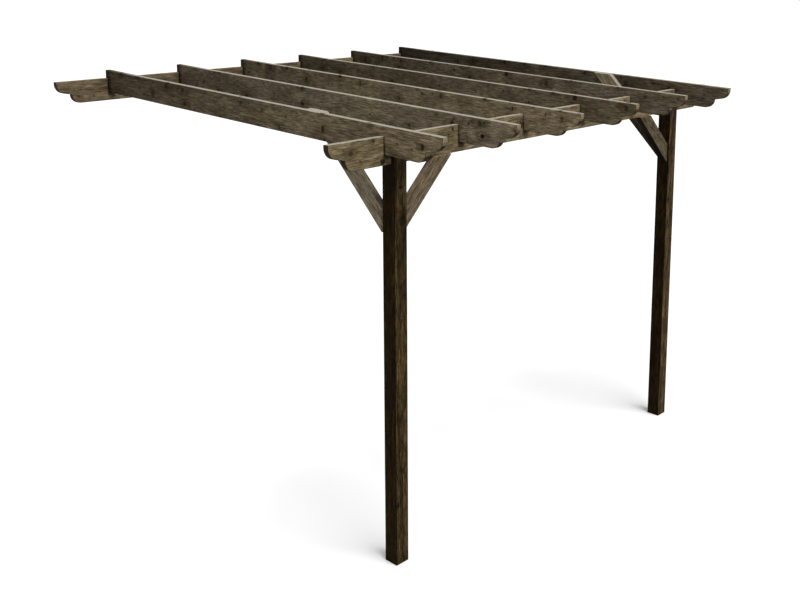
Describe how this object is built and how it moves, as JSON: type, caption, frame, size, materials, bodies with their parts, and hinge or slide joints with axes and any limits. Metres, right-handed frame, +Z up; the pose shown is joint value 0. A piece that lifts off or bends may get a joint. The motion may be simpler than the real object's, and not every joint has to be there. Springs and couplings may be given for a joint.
{
  "type": "wall-mounted wooden pergola",
  "caption": "Lean-to timber pergola: two square posts and a wall beam carry notched beams and rafters with shaped ends, stiffened by diagonal braces.",
  "frame": {"origin": "middle of the wall beam's back face, which lies on the wall", "axes": "+X to the right seen from the front, +Y into the wall, +Z up; the posts stand at -Y and their feet are below the origin"},
  "size_m": [3.846, 3.3745, 2.7092],
  "materials": {
    "post_timber": "sawn softwood with a dark brown stain",
    "roof_timber": "sawn pressure-treated softwood, greyed",
    "brace_timber": "sawn pressure-treated softwood, greyed"
  },
  "bodies": {
    "root": {"left_post": "post_timber", "right_post": "post_timber", "front_beam": "roof_timber", "wall_beam": "roof_timber", "rafter_1": "roof_timber", "rafter_2": "roof_timber", "rafter_3": "roof_timber", "rafter_4": "roof_timber", "rafter_5": "roof_timber", "rafter_6": "roof_timber", "left_beam_brace": "brace_timber", "right_beam_brace": "brace_timber", "left_rafter_brace": "brace_timber", "right_rafter_brace": "brace_timber"}
  },
  "joints": []
}
